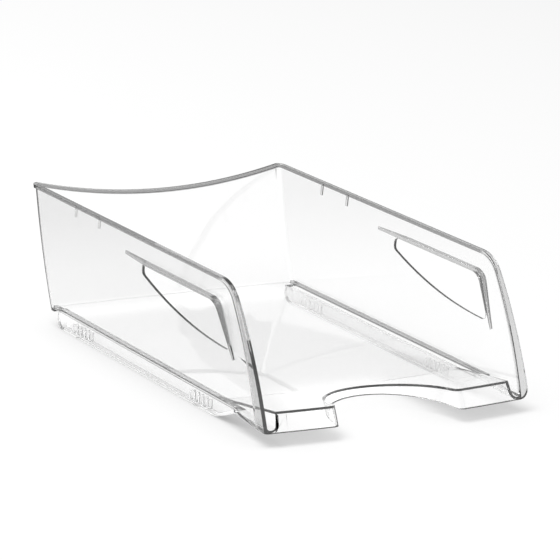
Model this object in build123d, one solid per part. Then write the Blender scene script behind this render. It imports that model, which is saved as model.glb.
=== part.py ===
"""Clear injection-moulded letter tray with a raised deck, runners, grip holes and a front finger notch.

Frame: X across the tray, -Y to the open front, +Y to the back, Z up. The origin lies on the table under
the middle of the tray. All sizes are in millimetres. The moulding is built as named regions that meet
face to face; every region takes its place from the same values, so a changed size carries them all.
"""
from build123d import *

import math
import os

# ---- overall form ---------------------------------------------------------------------------------
overall_length = 388.0        # front lip foot to rear edge of the rim
side_outer = 126.6            # half width over the outer faces of the side walls, at deck level
side_draft = 1.2              # degrees that the side walls lean outwards, so that the mould releases them
rim_height = 118.5            # table to top of the side rims
wall = 2.4                    # thickness of walls, deck and skirts
corner_radius = 3.0           # inside radius of the rear corners
back_top_lean = 13.5          # degrees that the back wall leans backwards at rim level
back_curve_radius = 570.0     # side view radius of the back wall, which leans more towards its foot
back_bow_radius = 3400.0      # plan radius of the gently bowed back wall
scoop_depth = 14.0            # how far the back wall's top dips at mid width

# ---- rims -----------------------------------------------------------------------------------------
rim_depth = 3.0               # depth of the rim band along every free edge
rim_flange = 1.8              # how far the top rim stands out from the walls
edge_flange_foot = 6.5        # how far the front edge band stands out at its foot
front_bend_radius = 30.0      # bend where the side rim turns down into the front edge
front_edge_radius = 400.0     # long curve of the front edge
front_edge_run = 59.5         # how far the front edge runs back from its foot to rim level
foot_corner_radius = 9.0      # rounded lower front corner of each side

# ---- deck, apron and front lips -------------------------------------------------------------------
deck_height = 17.0            # table to the top of the flat deck
skirt_height = 11.0           # table to the lower edge of the front skirts
lip_height = 26.0             # table to the top of the front lips
lip_lean = 28.0               # degrees that the front lips lean back
front_bow_radius = 1260.0     # plan radius of the bowed front edge
apron_depth = 72.0            # lip foot back to the crease where the apron starts to rise
notch_half = 58.0             # half width and back radius of the finger notch
notch_depth = 60.0            # lip foot back to the deepest point of the notch, at skirt level
notch_mouth_radius = 6.0      # rounding where the notch meets the lips

# ---- runners and gutters --------------------------------------------------------------------------
trough_width = 4.5            # inside width of a runner's trough
runner_clearance = 1.8        # gap between a runner and the side wall of a tray below it
runner_rear_setback = 46.5    # rear edge of the rim to the heel of a runner
runner_front_setback = 92.0   # front lip foot back to where the nose starts to curve up
runner_rear_radius = 9.0      # rounded lower rear corner of a runner
runner_nose_radius = 40.0     # curve of the nose
runner_nose_angle = 24.5      # degrees of the rising nose
gutter_level_run = 15.0       # front lip foot back to where the gutter starts to rise
cheek_lean = 8.0              # degrees that the apron's side cheeks lean over the apron
cheek_radius = 5.5            # hollow corner where a cheek runs into the gutter
gutter_radius = 2.5           # hollow corner between gutter and side wall

# ---- grip holes -----------------------------------------------------------------------------------
grip_drop = 20.5              # rim top down to the straight upper edge of the grip hole
grip_setback = 80.0           # front lip foot back to the hole's upper front corner
grip_length = 119.0           # length of the straight upper edge
grip_slant = 20.0             # how far the hole's front edge runs forward to its foot
grip_depth = 36.0             # upper edge down to the lower front corner
grip_rear_depth = 10.0        # upper edge down to the lower rear corner
grip_sag = 6.5                # how far the lower edge bellies below its chord
grip_belly_share = 0.38       # where along the chord, from the rear, it bellies most
grip_bend_radius = 14.0
grip_small_radius = 4.5
collar_stand = 5.0            # how far the grip collar stands out from the wall
collar_thickness = 2.6
collar_rear_tail = 27.0       # collar runs on past the rear of the hole
collar_foot_tail = 7.0        # collar runs on below the hole's foot
collar_taper = 40.0           # length over which the collar's tails run out
collar_tail = 0.6             # how far a tail still stands out where it ends

# ---- ribs -----------------------------------------------------------------------------------------
rim_rib_station = 99.3        # midway between the two ribs inside each rim
rim_rib_spacing = 39.6
rim_rib_width = 1.8
rim_rib_stand = 1.6
rim_rib_length = 10.0
trough_rib_station = 108.5    # middle of the rear group of trough ribs
trough_rib_pitch = 191.5      # rear group to front group
trough_rib_width = 1.6
trough_rib_height = 7.5
trough_rib_count = 5
trough_rib_spacing = 6.6

# ---- values that follow from the sizes above ------------------------------------------------------
side_inner = side_outer - wall
deck_underside = deck_height - wall
lip_slope = math.tan(math.radians(lip_lean))
draft_slope = math.tan(math.radians(side_draft))
front_y = -overall_length / 2
reach = overall_length                     # generous length for cutting tools
runner_outer = side_inner - runner_clearance
trough_outer = runner_outer - wall
runner_inner = trough_outer - trough_width
cheek_inner = runner_inner - wall
runner_rear = overall_length / 2 - runner_rear_setback
runner_flat_front = front_y + runner_front_setback
gutter_front_level = front_y + gutter_level_run
grip_top = rim_height - grip_drop
grip_foot = grip_top - grip_depth
grip_front_top = front_y + grip_setback
grip_front_foot = grip_front_top - grip_slant
grip_rear = grip_front_top + grip_length
bow_centre = front_y + math.sqrt(front_bow_radius**2 - notch_half**2)
edge_foot_y = bow_centre - math.sqrt(front_bow_radius**2 - side_outer**2)
crease_radius = bow_centre - front_y - apron_depth
nose_rise = runner_nose_radius * (1 - math.cos(math.radians(runner_nose_angle)))
nose_run = runner_nose_radius * math.sin(math.radians(runner_nose_angle))
nose_tip = runner_flat_front - nose_run - (
    (deck_underside - nose_rise) / math.tan(math.radians(runner_nose_angle))
)
gutter_start = nose_tip - wall
trough_front = nose_tip + wall / math.sin(math.radians(runner_nose_angle))
# the back wall's side view is an arc; its centre lies ahead of the wall and above the rim
rim_rear = overall_length / 2 - rim_flange
back_centre_y = rim_rear - back_curve_radius * math.cos(math.radians(back_top_lean))
back_centre_z = rim_height + back_curve_radius * math.sin(math.radians(back_top_lean))
bow_depth = side_outer**2 / (2 * back_bow_radius)
bow_axis_y = rim_rear + bow_depth - back_bow_radius


def side_prism(face, low_x, high_x):
    """Sweep a face drawn in Y and Z across the tray from low_x to high_x."""
    return extrude(Plane.YZ.offset(low_x) * face, amount=high_x - low_x)


def block(low, high):
    """A box between two corners."""
    size = [h - l for l, h in zip(low, high)]
    middle = [(l + h) / 2 for l, h in zip(low, high)]
    return Pos(*middle) * Box(*size)


def spread(height):
    """How much further out the side walls stand at a height than at deck level."""
    return (height - deck_height) * draft_slope


def between_sides(half, back, front):
    """Everything between two drafted side faces that stand half from the middle at deck level."""
    low = -2 * wall
    high = rim_height + wall
    face = make_face(Polyline(
        (half + spread(low), low),
        (half + spread(high), high),
        (-half - spread(high), high),
        (-half - spread(low), low),
        close=True,
    ))
    return Pos(0, back, 0) * extrude(Plane.XZ * face, amount=back - front)


def leaning(face, base, height, slope):
    """Sweep a plan face upward from a base height, shifting it back by slope as it rises."""
    flat = (Pos(0, 0, base) * face).faces()[0]
    return Solid.extrude(flat, Vector(0, slope * height, height))


def tub(half, stand, radius):
    """The space inside one face of the walls, filled: drafted sides, curved and bowed back, rounded corners.

    half is the half width, stand moves the back face out from the wall's outer face, radius rounds the
    two rear corners.
    """
    low = -2 * wall
    high = 2 * rim_height
    view = Pos(back_centre_y + bow_depth, back_centre_z) * Circle(back_curve_radius + stand)
    view &= Pos(0, (low + high) / 2) * Rectangle(2 * reach, high - low)
    axis = Axis((0, bow_axis_y, 0), (0, 0, 1))
    turn = 3 * math.degrees(math.asin(half / back_bow_radius))   # well past both side walls
    start = (Plane.YZ * view).rotate(axis, -turn / 2)
    body = revolve(start, axis=axis, revolution_arc=turn)
    body &= between_sides(half, reach, -reach)
    corners = body.edges().filter_by(lambda e: abs(e.center().X) > half - wall and e.center().Y > 0)
    upright = [e for e in corners if e.bounding_box().size.Z > rim_height / 2]
    return fillet(upright, radius)


def walls_with(stand):
    """Shell of side and back walls, with its outer face moved out by stand."""
    outer = tub(side_outer + stand, stand, corner_radius + wall + stand)
    return outer - inside_of_walls()


def inside_of_walls():
    """The space between the walls, which the deck fills edge to edge."""
    inner = tub(side_inner, -wall, corner_radius)
    return inner + between_sides(side_inner, -reach / 4, -2 * reach)


def front_outline():
    """Side view region behind the front edge and below the side rim, running on below the table."""
    top = (edge_foot_y + front_edge_run, rim_height)
    foot = (edge_foot_y, skirt_height)
    # the curve is a circle through both ends; its tangent carries on below the foot
    chord = math.atan2(top[0] - foot[0], top[1] - foot[1])
    half_turn = math.asin(math.hypot(top[0] - foot[0], top[1] - foot[1]) / 2 / front_edge_radius)
    run_out = skirt_height + wall
    low = (foot[0] - run_out * math.tan(chord - half_turn), foot[1] - run_out)
    outline = Curve() + [
        Polyline(low, (reach, low[1]), (reach, rim_height), top),
        RadiusArc(top, foot, -front_edge_radius),
        Line(foot, low),
    ]
    face = make_face(outline)
    corner = face.vertices().sort_by_distance((top[0], top[1], 0))[0]
    return fillet(corner, front_bend_radius)


def underside_region():
    """Side view region above the deck's underside and the front gutter's lower face."""
    return make_face(Polyline(
        (-reach, skirt_height),
        (gutter_front_level, skirt_height),
        (gutter_start, deck_underside),
        (reach, deck_underside),
        (reach, 2 * rim_height),
        (-reach, 2 * rim_height),
        close=True,
    ))


def below_scoop(drop):
    """Everything below the top line of the tray, lowered by drop: level sides and a scooped back."""
    half = side_inner
    top = rim_height - drop
    outline = Curve() + [
        Polyline((half, top), (reach, top), (reach, -reach), (-reach, -reach), (-reach, top), (-half, top)),
        ThreePointArc((-half, top), (0, top - scoop_depth), (half, top)),
    ]
    return extrude(Plane.XZ * make_face(outline), amount=reach, both=True)


def front_plan():
    """Plan of the apron at skirt level: bowed front edge cut by the finger notch."""
    half = side_outer + edge_flange_foot + notch_mouth_radius
    edge = bow_centre - math.sqrt(front_bow_radius**2 - half**2)
    outline = Curve() + [
        Polyline((half, edge), (half, 0), (-half, 0), (-half, edge)),
        ThreePointArc((-half, edge), (0, bow_centre - front_bow_radius), (half, edge)),
    ]
    notch_centre = front_y + notch_depth - notch_half
    notch = Pos(0, notch_centre) * Circle(notch_half)
    notch += Pos(0, notch_centre - notch_depth / 2) * Rectangle(2 * notch_half, notch_depth)
    face = make_face(outline) - notch
    # an offset in and back out rounds the two corners at the mouth
    return offset(offset(face, -notch_mouth_radius), notch_mouth_radius)


def apron_slab(top_offset, thickness):
    """The rising apron as a ring about the bow's centre, so that its crease is bowed like the front."""
    crease = bow_centre - crease_radius
    run = apron_depth + 4 * wall
    rise = (lip_height - deck_height) / (apron_depth - (lip_height - skirt_height) * lip_slope)
    profile = make_face(Polyline(
        (crease, deck_height + top_offset),
        (crease - run, deck_height + top_offset + run * rise),
        (crease - run, deck_height + top_offset + run * rise - thickness),
        (crease, deck_height + top_offset - thickness),
        close=True,
    ))
    turn = 2 * math.degrees(math.asin(side_outer / crease_radius))
    start = Plane.YZ * profile
    start = start.rotate(Axis((0, bow_centre, 0), (0, 0, 1)), -turn / 2)
    return revolve(start, axis=Axis((0, bow_centre, 0), (0, 0, 1)), revolution_arc=turn)


def runner_profile(inset):
    """Side view of a runner below the deck, drawn inset from its outer face: heel, flat foot and nose."""
    angle = math.radians(runner_nose_angle)
    radius = runner_nose_radius - inset
    flat = (runner_flat_front, inset)
    nose = (flat[0] - radius * math.sin(angle), runner_nose_radius - radius * math.cos(angle))
    tip = (nose[0] - (deck_underside - nose[1]) / math.tan(angle), deck_underside)
    heel_y = runner_rear - inset
    outline = Curve() + [
        Polyline(tip, (heel_y, deck_underside), (heel_y, inset), flat),
        TangentArc(flat, nose, tangent=(-1, 0)),
        Line(nose, tip),
    ]
    face = make_face(outline)
    heel = face.vertices().sort_by_distance((heel_y, inset, 0))[0]
    return fillet(heel, runner_rear_radius - inset)


def runner():
    """Right runner: a trough open at the top, with a rounded heel and a nose that rises like a ski.

    Its outer wall stands as high as the deck's top, where it carries the stacking ledge.
    """
    body = side_prism(runner_profile(0), cheek_inner, runner_outer)
    body += block((trough_outer, nose_tip, deck_underside), (runner_outer, runner_rear, deck_height))
    return body - side_prism(runner_profile(wall), runner_inner, trough_outer)


def trough_slot():
    """The slot that a runner's trough opens through the deck, and the open space outside its outer wall."""
    slot = block((runner_inner, trough_front, 0), (trough_outer, runner_rear - wall, deck_height + wall))
    return slot + block((trough_outer, nose_tip, 0), (reach, runner_rear, deck_height))


def stacking_ledge():
    """Right ledge between the runner's outer wall and the side wall; it rests on the rim of a tray below."""
    ledge = block(
        (trough_outer, gutter_start, deck_height),
        (side_outer, runner_rear + wall, deck_height + wall),
    )
    return ledge & between_sides(side_inner, reach, -reach)


def valley(inset):
    """Front view of the space between the right cheek and the side wall, grown into the walls by inset."""
    floor = skirt_height + wall - inset
    lean = math.tan(math.radians(cheek_lean))
    foot = runner_inner - inset / math.cos(math.radians(cheek_lean)) + (deck_height - floor) * lean
    high = rim_height
    side = side_inner + 3 * inset    # the grown shape runs on through the side wall
    side_foot = side + spread(floor)
    face = make_face(Polyline(
        (foot, floor),
        (side_foot, floor),
        (side + spread(high), high),
        (foot - (high - floor) * lean, high),
        close=True,
    ))
    for corner, radius in (((foot, floor), cheek_radius), ((side_foot, floor), gutter_radius)):
        face = fillet(face.vertices().sort_by_distance((*corner, 0))[0], radius + inset)
    return extrude(Plane.XZ * face, amount=reach, both=True)


def grip_hole():
    """Side view of the grip hole: straight top, sloping front and a bellied lower edge."""
    rear_foot = (grip_rear, grip_top - grip_rear_depth)
    front_foot = (grip_front_foot, grip_foot)
    belly = (
        rear_foot[0] + (front_foot[0] - rear_foot[0]) * grip_belly_share,
        rear_foot[1] + (front_foot[1] - rear_foot[1]) * grip_belly_share - grip_sag,
    )
    outline = Curve() + [
        Polyline(rear_foot, (grip_rear, grip_top), (grip_front_top, grip_top), front_foot),
        Spline(front_foot, belly, rear_foot),
    ]
    face = make_face(outline)
    bend = face.vertices().sort_by_distance((grip_front_top, grip_top, 0))[0]
    face = fillet(bend, grip_bend_radius)
    small = [v for v in face.vertices() if v.Y < grip_top - grip_bend_radius or v.X > grip_rear - 0.01]
    return fillet(small, grip_small_radius)


def collar():
    """Right grip collar: a rib along the hole's top and front edges whose tails run out into the wall."""
    down = Vector(grip_front_foot - grip_front_top, grip_foot - grip_top).normalized()
    out = Vector(down.Y, -down.X) * collar_thickness
    foot = Vector(grip_front_foot, grip_foot) + down * collar_foot_tail
    rear = grip_rear + collar_rear_tail
    level = grip_top + collar_thickness
    lift = (collar_thickness - out.Y) / down.Y
    bend = (grip_front_top + out.X + down.X * lift, level)
    strip = make_face(Polyline(
        (rear, grip_top),
        (grip_front_top, grip_top),
        (foot.X, foot.Y),
        (foot.X + out.X, foot.Y + out.Y),
        bend,
        (rear, level),
        close=True,
    ))
    for corner, radius in (((grip_front_top, grip_top), grip_bend_radius),
                           (bend, grip_bend_radius + collar_thickness)):
        strip = fillet(strip.vertices().sort_by_distance((*corner, 0))[0], radius)
    face_at_top = side_outer + spread(grip_top)
    rib = side_prism(strip, side_inner, face_at_top + collar_stand)
    # two wedges make the tails run out: one seen from above at the rear, one seen from the front at the foot
    near, far = face_at_top + collar_tail, face_at_top + collar_stand
    beyond = far + wall
    rear_wedge = make_face(Polyline(
        (near, rear), (far, rear - collar_taper), (beyond, rear - collar_taper), (beyond, rear + wall),
        (near, rear + wall), close=True,
    ))
    low = foot.Y
    near = side_outer + spread(low) + collar_tail
    foot_wedge = make_face(Polyline(
        (near, low), (far, low + collar_taper), (beyond, low + collar_taper), (beyond, low - wall),
        (near, low - wall), close=True,
    ))
    rib -= extrude(rear_wedge, amount=rim_height)
    rib -= extrude(Plane.XZ * foot_wedge, amount=reach, both=True)
    return rib - between_sides(side_outer, reach, -reach)


def edge_flare():
    """Front view that bounds the front edge bands: they widen downwards and round off at the foot."""
    foot = side_outer + edge_flange_foot
    top = side_outer + spread(rim_height) + rim_flange
    face = make_face(Polyline(
        (-foot, skirt_height), (foot, skirt_height), (top, rim_height), (-top, rim_height), close=True,
    ))
    corners = face.vertices().sort_by(Axis.Y)[:2]
    return extrude(Plane.XZ * fillet(corners, foot_corner_radius), amount=reach, both=True)


def rim_rib(side):
    """One short rib on the inside of the right wall, hanging from the rim."""
    middle = rim_rib_station + side * rim_rib_spacing / 2
    top = rim_height - rim_depth / 2
    rib = block(
        (side_inner + spread(top) - rim_rib_stand, middle - rim_rib_width / 2, top - rim_rib_length),
        (side_outer + spread(top), middle + rim_rib_width / 2, top),
    )
    return rib & between_sides(side_inner, reach, -reach)


def trough_ribs(station):
    """Evenly spaced cross ribs that stand in the right trough at a stacking station."""
    first = station - trough_rib_spacing * (trough_rib_count - 1) / 2 - trough_rib_width / 2
    hollow = side_prism(runner_profile(wall), runner_inner, trough_outer)
    return [
        hollow & block(
            (runner_inner, first + place * trough_rib_spacing, 0),
            (trough_outer, first + place * trough_rib_spacing + trough_rib_width, wall + trough_rib_height),
        )
        for place in range(trough_rib_count)
    ]


def build():
    """Make every region of the moulding. Each region is cut from shapes that its neighbours share."""
    far = reach
    outline = front_outline()
    view = outline & underside_region()
    inner_view = view & offset(outline, -rim_depth)
    outer_envelope = side_prism(view, -far, far) & below_scoop(0)
    inner_envelope = side_prism(inner_view, -far, far) & below_scoop(rim_depth)
    rim_zone = outer_envelope - inner_envelope
    corner = side_inner - corner_radius
    bend_start = edge_foot_y + front_edge_run + front_bend_radius / 2
    middle = block((-corner, 0, -1), (corner, far, far))
    right = block((corner, -far, -1), (far, far, far))
    behind_bend = block((-far, bend_start, -1), (far, far, far))

    walls = walls_with(0) & inner_envelope
    top_rim = walls_with(rim_flange) & rim_zone & behind_bend
    edge_band = (walls_with(edge_flange_foot) & rim_zone & edge_flare()) - behind_bend

    # deck, cut short at the bowed crease, with a slot over each trough
    crease = Pos(0, bow_centre, 0) * Cylinder(crease_radius, far)
    between = block((-runner_inner, -far, -1), (runner_inner, far, far))
    slab = block((-far, trough_front, deck_underside), (far, far, deck_height))
    slot = trough_slot()
    deck = (inside_of_walls() & slab) - (between - crease) - slot - mirror(slot, about=Plane.YZ)

    # apron between the two valleys, and the skirts that hang below it
    front = leaning(front_plan(), skirt_height, lip_height, lip_slope)
    behind_skirts = leaning(offset(front_plan(), -wall), skirt_height, lip_height, lip_slope)
    below_apron = apron_slab(-wall, lip_height)
    hollow = valley(0)
    grown = valley(wall)
    apron = (apron_slab(0, wall) & front & between) - hollow - mirror(hollow, about=Plane.YZ)
    inside = between_sides(side_inner, 0, -far)
    skirts = (front - behind_skirts) & below_apron & block((-far, -far, skirt_height), (far, 0, far)) & inside
    skirts = skirts - grown - mirror(grown, about=Plane.YZ)
    notch_edge = notch_half + notch_mouth_radius
    at_notch = block((-notch_edge, -far, -1), (notch_edge, far, far))

    # gutter with its cheek, from the crease to the front edge
    over_floor = Pos(0, wall) * underside_region()
    gutter = side_prism(underside_region(), 0, side_outer) & grown & between_sides(side_inner, far, -far)
    gutter -= side_prism(over_floor, 0, far) & hollow
    gutter = gutter & below_apron & front & block((0, -far, 0), (side_inner, trough_front, far))
    gutter -= slot
    cheek = (grown - hollow) & below_apron & block(
        (0, trough_front, deck_underside), (runner_inner, far, far))
    cheek -= crease

    side_wall = (walls & right) - side_prism(grip_hole(), 0, far) - slot
    solids = {
        "floor_panel": deck,
        "front_apron": apron,
        "notch_skirt": skirts & at_notch,
        "back_wall": walls & middle,
        "back_top_rim": top_rim & middle,
    }
    right_regions = {
        "side_wall": side_wall,
        "top_rim": top_rim & right,
        "front_edge_band": edge_band & right,
        "front_lip": (skirts - at_notch) & block((0, -far, -far), (far, far, far)),
        "front_gutter": gutter + cheek,
        "stacking_ledge": stacking_ledge(),
        "grip_collar": collar(),
        "runner": runner(),
        "rim_ribs": Compound([rim_rib(side).solid() for side in (-1, 1)]),
        "runner_ribs": Compound([
            rib.solid()
            for station in (trough_rib_station, trough_rib_station - trough_rib_pitch)
            for rib in trough_ribs(station)
        ]),
    }
    for name, shape in right_regions.items():
        solids[f"right_{name}"] = shape
        solids[f"left_{name}"] = mirror(shape, about=Plane.YZ)
    return solids


def save(solids):
    """Write every region to its own STEP file and say how large it is."""
    os.makedirs("parts", exist_ok=True)
    for name, shape in solids.items():
        shape.label = name
        export_step(shape, f"parts/{name}.step")
        size = shape.bounding_box().size
        print(f"{name:24s} {shape.volume / 1000:8.2f} cm3  {size.X:7.1f} {size.Y:7.1f} {size.Z:7.1f}")


if __name__ == "__main__":
    save(build())
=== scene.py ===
"""Looks of a clear moulded letter tray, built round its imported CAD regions.

The tray is one moulding of clear polystyrene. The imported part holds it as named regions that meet
face to face, and a clear material would show every one of those meeting faces. This script therefore
joins copies of the regions into one closed skin, rounds its edges as the mould does, gives it its
finishes, and sets it on a plain pale table in soft studio light.
"""

from __future__ import annotations

import logging
import math
from collections.abc import Iterator
from contextlib import contextmanager
from dataclasses import dataclass, field
from enum import Enum
from itertools import compress

import bmesh
import bpy
import numpy as np
from mathutils import Matrix, Vector

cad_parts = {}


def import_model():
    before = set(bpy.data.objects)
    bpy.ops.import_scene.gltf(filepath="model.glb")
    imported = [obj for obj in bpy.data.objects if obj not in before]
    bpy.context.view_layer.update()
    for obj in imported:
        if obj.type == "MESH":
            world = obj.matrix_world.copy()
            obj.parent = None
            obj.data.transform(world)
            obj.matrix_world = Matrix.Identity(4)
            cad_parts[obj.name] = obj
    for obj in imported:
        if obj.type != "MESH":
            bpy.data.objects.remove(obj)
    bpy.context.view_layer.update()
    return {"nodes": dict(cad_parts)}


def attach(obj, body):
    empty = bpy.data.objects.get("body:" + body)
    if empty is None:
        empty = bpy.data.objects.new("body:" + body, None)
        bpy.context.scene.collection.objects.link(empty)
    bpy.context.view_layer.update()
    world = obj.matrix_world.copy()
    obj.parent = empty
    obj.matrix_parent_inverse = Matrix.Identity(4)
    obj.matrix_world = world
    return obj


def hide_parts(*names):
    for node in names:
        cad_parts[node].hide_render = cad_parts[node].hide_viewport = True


log = logging.getLogger("letter_tray")

MM = 0.001
WHITE = "#ffffff"
TINY = 1e-30    # keeps a division by nothing finite


def linear(hex_colour: str) -> tuple[float, float, float, float]:
    """Turn an sRGB hex colour into linear RGBA.

    Args:
        hex_colour: six hex digits after a hash, such as "#f4f6f6".

    Returns:
        Red, green and blue in linear light, and an alpha of 1.
    """
    srgb = np.array([int(hex_colour[i:i + 2], 16) for i in (1, 3, 5)]) / 255.0
    low = srgb / 12.92
    high = ((srgb + 0.055) / 1.055) ** 2.4
    return (*np.where(srgb <= 0.04045, low, high).tolist(), 1.0)


def add_node(tree: bpy.types.NodeTree, kind: str, settings: dict | None = None,
             links: dict | None = None) -> bpy.types.Node:
    """Add a node with its settings and its incoming links.

    Args:
        tree: the node tree to add to.
        kind: the node's type, such as "ShaderNodeMath".
        settings: attributes by name, or input socket values by name or number.
        links: output sockets by the name or number of the input that they feed.

    Returns:
        The new node.
    """
    node = tree.nodes.new(kind)
    for key, value in (settings or {}).items():
        if isinstance(key, str) and hasattr(node, key):
            setattr(node, key, value)
        else:
            node.inputs[key].default_value = value
    for key, socket in (links or {}).items():
        tree.links.new(socket, node.inputs[key])
    return node


def read(items: bpy.types.bpy_prop_collection, name: str, width: int = 1, kind: type = float) -> np.ndarray:
    """Read one property of every item at once.

    Args:
        items: a mesh's vertices, edges, corners or faces, or the data of an attribute.
        name: the property.
        width: how many numbers it has for each item.
        kind: float or int.

    Returns:
        One number for each item, or one row of numbers where the width is above 1.
    """
    values = np.empty(len(items) * width, kind)
    items.foreach_get(name, values)
    return values.reshape(-1, width) if width > 1 else values


@contextmanager
def editing(mesh: bpy.types.Mesh) -> Iterator[bmesh.types.BMesh]:
    """Open a mesh for editing, and write the result back to it.

    Args:
        mesh: the mesh to edit.

    Yields:
        The mesh in its editable form.
    """
    work = bmesh.new()
    work.from_mesh(mesh)
    yield work
    work.to_mesh(mesh)
    work.free()


class Region(Enum):
    """Kinds of region, each with a finish of its own. The value is the finish's slot on the skin."""

    WALL = 0
    ROLL = 1
    BAND = 2

    @classmethod
    def of(cls, node: str) -> Region:
        """Tell the kind of a region from the name of its node.

        Args:
            node: the node's name.

        Returns:
            BAND for a slanting front edge, ROLL for a rim, a collar or a ledge, and WALL for the rest.
        """
        if "edge_band" in node:
            return cls.BAND
        if "ribs" not in node and any(word in node for word in ("rim", "collar", "ledge")):
            return cls.ROLL
        return cls.WALL


@dataclass(frozen=True)
class ClearPolystyrene:
    """Clear general-purpose polystyrene, injection moulded in a polished mould.

    It is water-clear and glossy, with the high index of styrene, so its cut edges and bends look
    dark or bright while its flat walls nearly vanish.
    """

    name: str = "clear_polystyrene_moulded"
    tint: str = "#fafafa"
    ior: float = 1.59                   # general-purpose polystyrene
    roughness: float = 0.0              # polished mould
    clarity: float = 0.975              # the rest is scattered, which gives a thick wall a little body
    edge_radius: float = 1.0 * MM
    edge_samples: int = 6
    rounded_share: float = 0.45         # the rest of the light meets the sharp edge of the mesh
    foot_height: float = 31.0 * MM      # up to here, deck, lip, skirts and runners lie one behind another
    foot_fade: float = 1.0 * MM
    foot_shadow: str = "#dfdfdf"
    wall_shadow: str = WHITE
    glancing_shadow: str = "#fafafa"
    glancing_blend: float = 0.35
    notch_side: tuple[float, float] = (45.0 * MM, 64.0 * MM)    # round the notch one layer is left,
    notch_back: tuple[float, float] = (-90.0 * MM, -60.0 * MM)  # so the foot's shadow fades out there

    def body(self, tree: bpy.types.NodeTree) -> bpy.types.NodeSocket:
        """Build the plastic, with part of its light bent by edges that are rounded in the shading.

        Args:
            tree: the material's node tree.

        Returns:
            The shader's output.
        """
        edge = add_node(tree, "ShaderNodeBevel", {"samples": self.edge_samples, "Radius": self.edge_radius})
        glass = {"Base Color": linear(self.tint), "Roughness": self.roughness, "IOR": self.ior,
                 "Transmission Weight": self.clarity}
        sharp = add_node(tree, "ShaderNodeBsdfPrincipled", glass)
        rounded = add_node(tree, "ShaderNodeBsdfPrincipled", glass, {"Normal": edge.outputs["Normal"]})
        return add_node(tree, "ShaderNodeMixShader", {0: self.rounded_share}, {
            1: sharp.outputs[0], 2: rounded.outputs[0]}).outputs[0]

    def shadow(self, tree: bpy.types.NodeTree) -> bpy.types.NodeSocket:
        """Build what lamp light and light on its way to or from the table passes through.

        A wall dims it slightly where it is met at a glancing angle. The foot of the tray, below the foot
        height, dims it more, except round the notch.

        Args:
            tree: the material's node tree.

        Returns:
            The shader's output.
        """
        place = add_node(tree, "ShaderNodeTexCoord")
        part = add_node(tree, "ShaderNodeSeparateXYZ", None, {0: place.outputs["Object"]})
        above = add_node(tree, "ShaderNodeMapRange", {
            "From Min": self.foot_height - self.foot_fade, "From Max": self.foot_height + self.foot_fade}, {
            "Value": part.outputs["Z"]})
        facing = add_node(tree, "ShaderNodeLayerWeight", {"Blend": self.glancing_blend})
        wall = add_node(tree, "ShaderNodeMix", {
            "data_type": "RGBA", 6: linear(self.wall_shadow), 7: linear(self.glancing_shadow)}, {
            0: facing.outputs["Facing"]})
        off_centre = add_node(tree, "ShaderNodeMath", {"operation": "ABSOLUTE"}, {0: part.outputs["X"]})
        middle = add_node(tree, "ShaderNodeMapRange", {
            "From Min": self.notch_side[0], "From Max": self.notch_side[1], "To Min": 1.0, "To Max": 0.0}, {
            "Value": off_centre.outputs[0]})
        ahead = add_node(tree, "ShaderNodeMapRange", {
            "From Min": self.notch_back[0], "From Max": self.notch_back[1], "To Min": 1.0, "To Max": 0.0}, {
            "Value": part.outputs["Y"]})
        clear = add_node(tree, "ShaderNodeMath", {"operation": "MULTIPLY_ADD", "use_clamp": True}, {
            0: ahead.outputs[0], 1: middle.outputs[0], 2: above.outputs[0]})
        passed = add_node(tree, "ShaderNodeMix", {"data_type": "RGBA", 6: linear(self.foot_shadow)}, {
            0: clear.outputs[0], 7: wall.outputs[2]})
        return add_node(tree, "ShaderNodeBsdfTransparent", None, {"Color": passed.outputs[2]}).outputs[0]

    def material(self) -> bpy.types.Material:
        """Build the finish.

        Light between the table and the lamps goes straight through, as it does through thin clear
        walls, and every other ray is bent and mirrored.

        Returns:
            The material.
        """
        made = bpy.data.materials.new(self.name)
        made.use_nodes = True
        tree = made.node_tree
        tree.nodes.clear()
        body = self.body(tree)
        shade = self.shadow(tree)
        path = add_node(tree, "ShaderNodeLightPath")
        to_lamp = add_node(tree, "ShaderNodeMixShader", None, {
            0: path.outputs["Is Shadow Ray"], 1: body, 2: shade})
        mixed = add_node(tree, "ShaderNodeMixShader", None, {
            0: path.outputs["Is Diffuse Ray"], 1: to_lamp.outputs[0], 2: shade})
        add_node(tree, "ShaderNodeOutputMaterial", None, {"Surface": mixed.outputs[0]})
        return made


def tray_finishes() -> dict[Region, ClearPolystyrene]:
    """Give each kind of region its finish.

    Where close faces lie one behind another, as in a rolled rim, the plastic looks greyer. The rims and
    front bands show this as painted shade, a grey tint in their finish.

    Returns:
        The finishes by kind of region, in the order of their slots.
    """
    return {
        Region.WALL: ClearPolystyrene(),
        # Painted shade: grey tints on the rims, collars and ledges and on the front edge bands stand for
        # light bent dark through close faces.
        Region.ROLL: ClearPolystyrene("clear_polystyrene_rolled_rim", tint="#9a9a9a", rounded_share=0.0),
        Region.BAND: ClearPolystyrene("clear_polystyrene_front_band", tint="#d6d6d6", rounded_share=0.0),
    }


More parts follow.
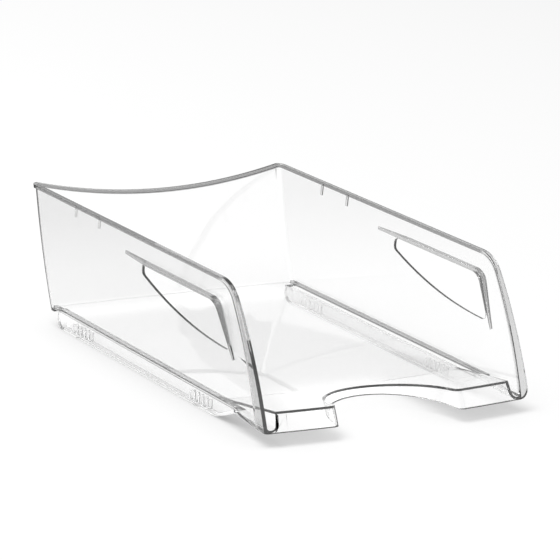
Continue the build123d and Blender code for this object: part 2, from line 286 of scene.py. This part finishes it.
@dataclass
class MouldedShell:
    """The whole moulding as one closed skin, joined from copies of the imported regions."""

    name: str = "moulded_shell"
    body: str = "root"
    material_slot: str = "clear_polystyrene"
    finishes: dict[Region, ClearPolystyrene] = field(default_factory=tray_finishes)
    overlap: float = 0.03 * MM              # each copy grows by this, so that touching regions overlap
    weld: float = 0.002 * MM                # corners nearer than this are one corner
    thin_share: float = 0.02                # below this share of its largest, a corner's spread is nil
    merge_angle: float = math.radians(0.3)  # faces that differ by less than this lie in one plane
    whole_sides: int = 4                    # a face with more sides than this is cut into triangles
    soft_angle: float = math.radians(26)
    flat_angle: float = math.radians(4)
    broad_width: float = 3.2 * MM

    def build(self, nodes: dict[str, bpy.types.Object]) -> bpy.types.Object:
        """Join the regions and dress the skin.

        Args:
            nodes: the regions by the names of their nodes.

        Returns:
            The skin, which takes the place of the regions.
        """
        materials = [finish.material() for finish in self.finishes.values()]
        mesh = self.join([self.grown_copy(node, materials) for _, node in sorted(nodes.items())])
        self.drop_specks(mesh)
        self.move_faces(mesh, -self.overlap)
        with editing(mesh) as work:
            bmesh.ops.dissolve_limit(work, angle_limit=self.merge_angle, verts=work.verts, edges=work.edges,
                                     delimit={"MATERIAL"})
        self.mark(mesh)
        with editing(mesh) as work:
            bmesh.ops.triangulate(work, faces=[f for f in work.faces if len(f.verts) > self.whole_sides])
        self.shade(mesh)
        skin = bpy.data.objects.new(self.name, mesh)
        bpy.context.scene.collection.objects.link(skin)
        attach(skin, self.body)
        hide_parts(*nodes)
        return skin

    def grown_copy(self, node: bpy.types.Object, materials: list[bpy.types.Material]) -> bpy.types.Object:
        """Copy a region, weld its loose triangles and move every face out by the overlap.

        Args:
            node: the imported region, which stays as it is.
            materials: the skin's finishes, in the order of their slots.

        Returns:
            The copy, with its finish.
        """
        mesh = node.data.copy()
        with editing(mesh) as work:
            bmesh.ops.remove_doubles(work, verts=work.verts, dist=self.weld)
        self.move_faces(mesh, self.overlap)
        mesh.materials.clear()
        for material in materials:
            mesh.materials.append(material)
        mesh.polygons.foreach_set("material_index", np.full(
            len(mesh.polygons), Region.of(node.name).value, np.int32))
        return bpy.data.objects.new("region_" + node.name, mesh)

    def move_faces(self, mesh: bpy.types.Mesh, distance: float) -> None:
        """Move every face of a mesh out along its normal.

        A corner's step s is the shortest one for which n . s = distance for the normal n of each face
        round it, which is the least-squares answer where more than three faces meet.

        Args:
            mesh: the mesh to change.
            distance: how far out, or in where it is negative.
        """
        count = len(mesh.vertices)
        corner = read(mesh.loops, "vertex_index", 1, int)
        sides = read(mesh.polygons, "loop_total", 1, int)
        facing = np.repeat(read(mesh.polygons, "normal", 3), sides, axis=0)
        outer = np.zeros((count, 3, 3))
        total = np.zeros((count, 3))
        np.add.at(outer, corner, facing[:, :, None] * facing[:, None, :])
        np.add.at(total, corner, facing * distance)
        size, axes = np.linalg.eigh(outer)
        inverse = np.where(size > self.thin_share * size[:, -1:], 1 / np.maximum(size, TINY), 0)
        step = np.einsum("nij,nj,nkj,nk->ni", axes, inverse, axes, total)
        mesh.vertices.foreach_set("co", (read(mesh.vertices, "co", 3) + step).ravel())
        mesh.update()

    def join(self, copies: list[bpy.types.Object]) -> bpy.types.Mesh:
        """Join overlapping solids into one mesh.

        Args:
            copies: the solids, which are removed afterwards.

        Returns:
            The joined mesh.
        """
        group = bpy.data.collections.new("regions")
        bpy.context.scene.collection.children.link(group)
        bpy.context.scene.collection.objects.link(copies[0])
        for copy in copies[1:]:
            group.objects.link(copy)
        union = copies[0].modifiers.new("join", "BOOLEAN")
        union.operation = "UNION"
        union.operand_type = "COLLECTION"
        union.collection = group
        union.solver = "EXACT"
        union.use_self = True
        union.material_mode = "INDEX"
        depsgraph = bpy.context.evaluated_depsgraph_get()
        mesh = bpy.data.meshes.new_from_object(copies[0].evaluated_get(depsgraph))
        for copy in copies:
            bpy.data.objects.remove(copy)
        bpy.data.collections.remove(group)
        return mesh

    def drop_specks(self, mesh: bpy.types.Mesh) -> None:
        """Keep the largest connected shell of a mesh.

        Each vertex starts with its own number and takes the lowest one next to it, until nothing
        changes. Those that end with one number belong together.

        Args:
            mesh: the joined mesh.
        """
        ends = read(mesh.edges, "vertices", 2, int)
        label = np.arange(len(mesh.vertices))
        while True:
            low = label[ends].min(axis=1)
            fresh = label.copy()
            np.minimum.at(fresh, ends[:, 0], low)
            np.minimum.at(fresh, ends[:, 1], low)
            fresh = fresh[fresh]
            if (fresh == label).all():
                break
            label = fresh
        loose = label != np.bincount(label).argmax()
        with editing(mesh) as work:
            bmesh.ops.delete(work, geom=list(compress(work.verts, loose)), context="VERTS")

    def mark(self, mesh: bpy.types.Mesh) -> None:
        """Keep each flat face's normal, area and breadth on it, for the pieces that it is cut into.

        Breadth is twice a face's area over its outline, which for a long strip is its width.

        Args:
            mesh: the joined skin, with its flat faces whole.
        """
        faces = len(mesh.polygons)
        normals, areas = read(mesh.polygons, "normal", 3), read(mesh.polygons, "area")
        sides = read(mesh.polygons, "loop_total", 1, int)
        ends = read(mesh.vertices, "co", 3)[read(mesh.edges, "vertices", 2, int)]
        lengths = np.linalg.norm(ends[:, 1] - ends[:, 0], axis=1)[read(mesh.loops, "edge_index", 1, int)]
        outline = np.bincount(np.repeat(np.arange(faces), sides), weights=lengths, minlength=faces)
        for name, kind, target, values in (
                ("plane", "FLOAT_VECTOR", "vector", normals.ravel()),
                ("area", "FLOAT", "value", areas),
                ("breadth", "FLOAT", "value", 2 * areas / np.maximum(outline, TINY))):
            mesh.attributes.new(name, kind, "FACE").data.foreach_set(target, values)

    def shade(self, mesh: bpy.types.Mesh) -> None:
        """Give each face corner the mean normal of the faces it blends with, by their areas.

        At a corner, a face blends with those whose normals differ from its own by less than the soft
        angle. A broad face blends only below the flat angle, so that a shallow crease beside it stays
        a crease. The corners of a face without area point up.

        Args:
            mesh: the marked skin.
        """
        normals = read(mesh.attributes["plane"].data, "vector", 3)
        areas = read(mesh.attributes["area"].data, "value")
        breadths = read(mesh.attributes["breadth"].data, "value")
        for name in ("plane", "area", "breadth"):
            mesh.attributes.remove(mesh.attributes[name])
        corner = read(mesh.loops, "vertex_index", 1, int)
        owner = np.repeat(np.arange(len(mesh.polygons)), read(mesh.polygons, "loop_total", 1, int))
        # Pair every face corner with each face corner at the same vertex.
        order = np.argsort(corner, kind="stable")
        count = np.bincount(corner, minlength=len(mesh.vertices))
        start = np.concatenate(([0], np.cumsum(count)[:-1]))
        each = count[corner]
        first = np.repeat(np.arange(len(corner)), each)
        offset = np.arange(each.sum()) - np.repeat(np.cumsum(each) - each, each)
        second = order[start[corner[first]] + offset]
        own, other = owner[first], owner[second]
        cosine = np.einsum("ij,ij->i", normals[own], normals[other])
        angle = np.where(breadths[own] > self.broad_width, self.flat_angle, self.soft_angle)
        weight = np.where(cosine > np.cos(angle), areas[other], 0.0)
        total = np.zeros((len(corner), 3))
        np.add.at(total, first, normals[other] * weight[:, None])
        length = np.linalg.norm(total, axis=1, keepdims=True)
        total = np.where(length > 0, total / np.maximum(length, TINY), (0.0, 0.0, 1.0))
        mesh.shade_smooth()
        mesh.normals_split_custom_set(total.tolist())


@dataclass
class Studio:
    """A plain pale table and backdrop with soft light.

    The moulding is lit as clear things are: a bright field behind it that darkens overhead, so that
    walls stay clear and edges turn grey. One grey card stands in the field, which the deck mirrors.
    """

    floor_colour: str = "#f2f2f2"
    floor_half: float = 12.0
    floor_drop: float = 0.2 * MM
    camera_lift: float = 0.10           # lift of the bare table, which makes it white
    # Painted light: the table glows more where it is seen through the plastic, and more again under and round
    # the deck.
    glass_lift: float = 0.17            # lift of the table behind a clear wall
    deck_painted_light: float = 0.41             # further lift behind the deck, which lies in its own shade
    deck_painted_light_half: tuple[float, float] = (150.0 * MM, 215.0 * MM)
    deck_painted_light_fade: float = 40.0 * MM
    # Painted reflection: as the plastic mirrors it, the table is a glow that falls between these distances
    # and levels.
    mirror_near: float = 0.20           # a mirrored table darkens from here
    mirror_far: float = 0.55            # to here
    mirror_levels: tuple[float, float] = (1.05, 0.30)
    ambient: float = 0.45
    field_fall: tuple[float, float] = (21.0, 36.0)      # elevations in degrees between which it darkens
    high_level: float = 0.22
    card_level: float = 0.66
    card_start: tuple[float, float] = (32.3, 15.97)     # azimuth and elevation of its lower left corner
    card_slope: float = 0.163
    card_bow: tuple[float, float] = (-0.063, 0.529)
    card_soft: float = 0.10
    lamp_place: tuple[float, float, float] = (-3.0, 0.6, 7.5)
    lamp_size: float = 5.0
    lamp_power: float = 466.0
    bounces: int = 32                   # enough for light that a rim traps

    def build(self) -> tuple[bpy.types.Object, bpy.types.Object]:
        """Set up the backdrop, the floor, the lamp and how far light is followed through the plastic.

        Returns:
            The floor and the lamp.
        """
        scene = bpy.context.scene
        scene.view_settings.view_transform = "Standard"
        scene.cycles.max_bounces = self.bounces
        scene.cycles.transmission_bounces = self.bounces
        scene.cycles.transparent_max_bounces = self.bounces
        scene.world = self.backdrop()
        return self.floor(), self.softbox()

    def floor(self) -> bpy.types.Object:
        """Build the table top.

        Returns:
            The staged floor.
        """
        mesh = bpy.data.meshes.new("table_top")
        corners = self.floor_half * np.array([[-1, -1], [1, -1], [1, 1], [-1, 1]])
        level = np.full((4, 1), -self.floor_drop)
        mesh.from_pydata(np.hstack([corners, level]).tolist(), [], [(0, 1, 2, 3)])
        mesh.materials.append(self.laminate())
        made = bpy.data.objects.new("table_top", mesh)
        bpy.context.scene.collection.objects.link(made)
        return made

    def laminate(self) -> bpy.types.Material:
        """Build the table's pale matt laminate.

        It glows where it is seen, so that it is white, and glows more through the plastic, painted light that
        makes up for the light the plastic takes. Under and round the deck, a further glow of painted light is
        seen through the plastic and cancels most of the tray's shadow there. In the plastic's mirror it shows
        a painted reflection, a glow that darkens with the distance from the tray.

        Returns:
            The material.
        """
        mat = bpy.data.materials.new("pale_table_laminate")
        mat.use_nodes = True
        tree = mat.node_tree
        tree.nodes.clear()
        path = add_node(tree, "ShaderNodeLightPath")
        camera = add_node(tree, "ShaderNodeMath", {"operation": "MULTIPLY", 1: self.camera_lift}, {
            0: path.outputs["Is Camera Ray"]})
        place = add_node(tree, "ShaderNodeTexCoord")
        off_centre = add_node(tree, "ShaderNodeVectorMath", {"operation": "ABSOLUTE"}, {
            0: place.outputs["Object"]})
        sides = add_node(tree, "ShaderNodeSeparateXYZ", None, {0: off_centre.outputs[0]})
        # Painted light: a glow on the table under and round the deck, seen through the plastic, fading out
        # past the deck's edges.
        painted_light_sides = [add_node(tree, "ShaderNodeMapRange", {
            "From Min": half - self.deck_painted_light_fade, "From Max": half, "To Min": 1.0, "To Max": 0.0}, {
            "Value": sides.outputs[axis]}) for half, axis in zip(self.deck_painted_light_half, "XY")]
        painted_light_mask = add_node(tree, "ShaderNodeMath", {"operation": "MULTIPLY"}, {
            0: painted_light_sides[0].outputs[0], 1: painted_light_sides[1].outputs[0]})
        through = add_node(tree, "ShaderNodeMath", {
            "operation": "MULTIPLY_ADD", 1: self.deck_painted_light, 2: self.glass_lift}, {0: painted_light_mask.outputs[0]})
        lift = add_node(tree, "ShaderNodeMath", {"operation": "MULTIPLY_ADD"}, {
            0: path.outputs["Is Transmission Ray"], 1: through.outputs[0], 2: camera.outputs[0]})
        flat = add_node(tree, "ShaderNodeBsdfDiffuse", {"Color": linear(self.floor_colour)})
        glow = add_node(tree, "ShaderNodeEmission", {"Color": linear(WHITE)}, {"Strength": lift.outputs[0]})
        lit = add_node(tree, "ShaderNodeAddShader", None, {0: flat.outputs[0], 1: glow.outputs[0]})
        # Painted reflection: seen in the plastic's mirror, the table is a glow that darkens with its distance
        # from the tray.
        away = add_node(tree, "ShaderNodeVectorMath", {"operation": "LENGTH"}, {0: place.outputs["Object"]})
        fade = add_node(tree, "ShaderNodeMapRange", {
            "From Min": self.mirror_near, "From Max": self.mirror_far,
            "To Min": self.mirror_levels[0], "To Max": self.mirror_levels[1]}, {
            "Value": away.outputs["Value"]})
        mirrored = add_node(tree, "ShaderNodeEmission", {"Color": linear(WHITE)}, {
            "Strength": fade.outputs[0]})
        which = add_node(tree, "ShaderNodeMath", {"operation": "MINIMUM", 1: 1.0}, {
            0: path.outputs["Glossy Depth"]})
        both = add_node(tree, "ShaderNodeMixShader", None, {
            0: which.outputs[0], 1: lit.outputs[0], 2: mirrored.outputs[0]})
        add_node(tree, "ShaderNodeOutputMaterial", None, {"Surface": both.outputs[0]})
        return mat

    def backdrop(self) -> bpy.types.World:
        """Build the bright field with its card, and the plain ambient light.

        The field is drawn by direction, in degrees: the level falls with the elevation, and the card
        fills what lies above its sloping foot and right of its bowed side. Matt surfaces see the
        plain ambient light instead.

        Returns:
            The world.
        """
        world = bpy.data.worlds.new("studio")
        world.use_nodes = True
        world.cycles.sampling_method = "NONE"
        tree = world.node_tree
        tree.nodes.clear()
        degree = math.radians(1)
        left, low = self.card_start
        ray = add_node(tree, "ShaderNodeTexCoord")
        part = add_node(tree, "ShaderNodeSeparateXYZ", None, {0: ray.outputs["Generated"]})
        around = add_node(tree, "ShaderNodeMath", {"operation": "ARCTAN2"}, {
            0: part.outputs["X"], 1: part.outputs["Y"]})
        up = add_node(tree, "ShaderNodeMath", {"operation": "ARCSINE"}, {0: part.outputs["Z"]})
        across = add_node(tree, "ShaderNodeMath", {"operation": "MULTIPLY_ADD", 1: 1 / degree, 2: -left}, {
            0: around.outputs[0]})
        above = add_node(tree, "ShaderNodeMath", {"operation": "MULTIPLY_ADD", 1: 1 / degree, 2: -low}, {
            0: up.outputs[0]})
        foot = add_node(tree, "ShaderNodeMath", {"operation": "MULTIPLY_ADD", 1: -self.card_slope}, {
            0: across.outputs[0], 2: above.outputs[0]})
        foot_in = add_node(tree, "ShaderNodeMapRange", {
            "From Min": 0.0, "From Max": self.card_soft}, {"Value": foot.outputs[0]})
        bend = add_node(tree, "ShaderNodeMath", {
            "operation": "MULTIPLY_ADD", 1: self.card_bow[1], 2: self.card_bow[0]}, {0: above.outputs[0]})
        side = add_node(tree, "ShaderNodeMath", {"operation": "MULTIPLY"}, {
            0: bend.outputs[0], 1: above.outputs[0]})
        inside = add_node(tree, "ShaderNodeMath", {"operation": "SUBTRACT"}, {
            0: across.outputs[0], 1: side.outputs[0]})
        side_in = add_node(tree, "ShaderNodeMapRange", {
            "From Min": 0.0, "From Max": self.card_soft}, {"Value": inside.outputs[0]})
        card = add_node(tree, "ShaderNodeMath", {"operation": "MULTIPLY"}, {
            0: foot_in.outputs[0], 1: side_in.outputs[0]})
        shown = add_node(tree, "ShaderNodeMapRange", {
            "From Min": 0.0, "From Max": 1.0, "To Min": 1.0, "To Max": self.card_level}, {
            "Value": card.outputs[0]})
        fall = add_node(tree, "ShaderNodeMapRange", {
            "From Min": self.field_fall[0] - low, "From Max": self.field_fall[1] - low,
            "To Min": 1.0, "To Max": self.high_level}, {"Value": above.outputs[0]})
        level = add_node(tree, "ShaderNodeMath", {"operation": "MINIMUM"}, {
            0: shown.outputs[0], 1: fall.outputs[0]})
        path = add_node(tree, "ShaderNodeLightPath")
        seen = add_node(tree, "ShaderNodeMath", {"operation": "ADD"}, {
            0: path.outputs["Is Camera Ray"], 1: path.outputs["Is Transmission Ray"]})
        seen_too = add_node(tree, "ShaderNodeMath", {"operation": "ADD"}, {
            0: seen.outputs[0], 1: path.outputs["Is Glossy Ray"]})
        direct = add_node(tree, "ShaderNodeMath", {"operation": "SUBTRACT", "use_clamp": True}, {
            0: seen_too.outputs[0], 1: path.outputs["Diffuse Depth"]})
        light = add_node(tree, "ShaderNodeMix", {"data_type": "FLOAT", 2: self.ambient}, {
            0: direct.outputs[0], 3: level.outputs[0]})
        glow = add_node(tree, "ShaderNodeBackground", {"Color": linear(WHITE)}, {
            "Strength": light.outputs[0]})
        add_node(tree, "ShaderNodeOutputWorld", None, {"Surface": glow.outputs[0]})
        return world

    def softbox(self) -> bpy.types.Object:
        """Build the lamp: overhead and to the left, aimed at the tray.

        Returns:
            The lamp.
        """
        lamp = bpy.data.lights.new("softbox", "AREA")
        lamp.shape = "SQUARE"
        lamp.size = self.lamp_size
        lamp.energy = self.lamp_power
        made = bpy.data.objects.new("softbox", lamp)
        made.location = self.lamp_place
        made.rotation_euler = (-Vector(self.lamp_place)).to_track_quat("-Z", "Y").to_euler()
        bpy.context.scene.collection.objects.link(made)
        return made


@dataclass
class ViewCamera:
    """The camera: from the front left, a little above the rim, slightly tilted."""

    place: tuple[float, float, float] = (-1.3575, -1.9828, 0.7435)
    yaw: float = 34.51
    pitch: float = 15.60
    roll: float = -4.484
    lens: float = 190.29
    sensor: float = 36.0
    reach: float = 60.0

    def build(self) -> bpy.types.Object:
        """Create the camera and make it the scene's.

        Yaw turns it from the y axis towards x, pitch lowers its aim, and roll turns it about its aim.

        Returns:
            The camera.
        """
        yaw, pitch, roll = (math.radians(v) for v in (self.yaw, self.pitch, self.roll))
        ahead = np.array([math.sin(yaw) * math.cos(pitch), math.cos(yaw) * math.cos(pitch), -math.sin(pitch)])
        level = np.array([math.cos(yaw), -math.sin(yaw), 0.0])
        down = np.cross(ahead, level)
        right = level * math.cos(roll) + down * math.sin(roll)
        below = -level * math.sin(roll) + down * math.cos(roll)
        data = bpy.data.cameras.new("view")
        data.sensor_width = self.sensor
        data.lens = self.lens
        data.clip_end = self.reach
        made = bpy.data.objects.new("view", data)
        turn = Matrix(np.stack([right, -below, -ahead], axis=1).tolist()).to_4x4()
        made.matrix_world = Matrix.Translation(self.place) @ turn
        bpy.context.scene.collection.objects.link(made)
        bpy.context.scene.camera = made
        return made


def report(piece: bpy.types.Object) -> None:
    """Log what a piece is and, for a mesh, its faces and the edges that have one face alone.

    Args:
        piece: the piece.
    """
    log.info("%s: %s", piece.name, piece.type.lower())
    if piece.type == "MESH":
        mesh = piece.data
        uses = np.bincount(read(mesh.loops, "edge_index", 1, int), minlength=len(mesh.edges))
        log.info("%s: %d faces, %d open edges", piece.name, len(mesh.polygons), (uses < 2).sum())


def main() -> None:
    """Build the scene and log each piece."""
    logging.basicConfig(level=logging.INFO)
    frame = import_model()
    report(ViewCamera().build())
    for staged in Studio().build():
        report(staged)
    report(MouldedShell().build(frame["nodes"]))


if __name__ == "__main__":
    main()
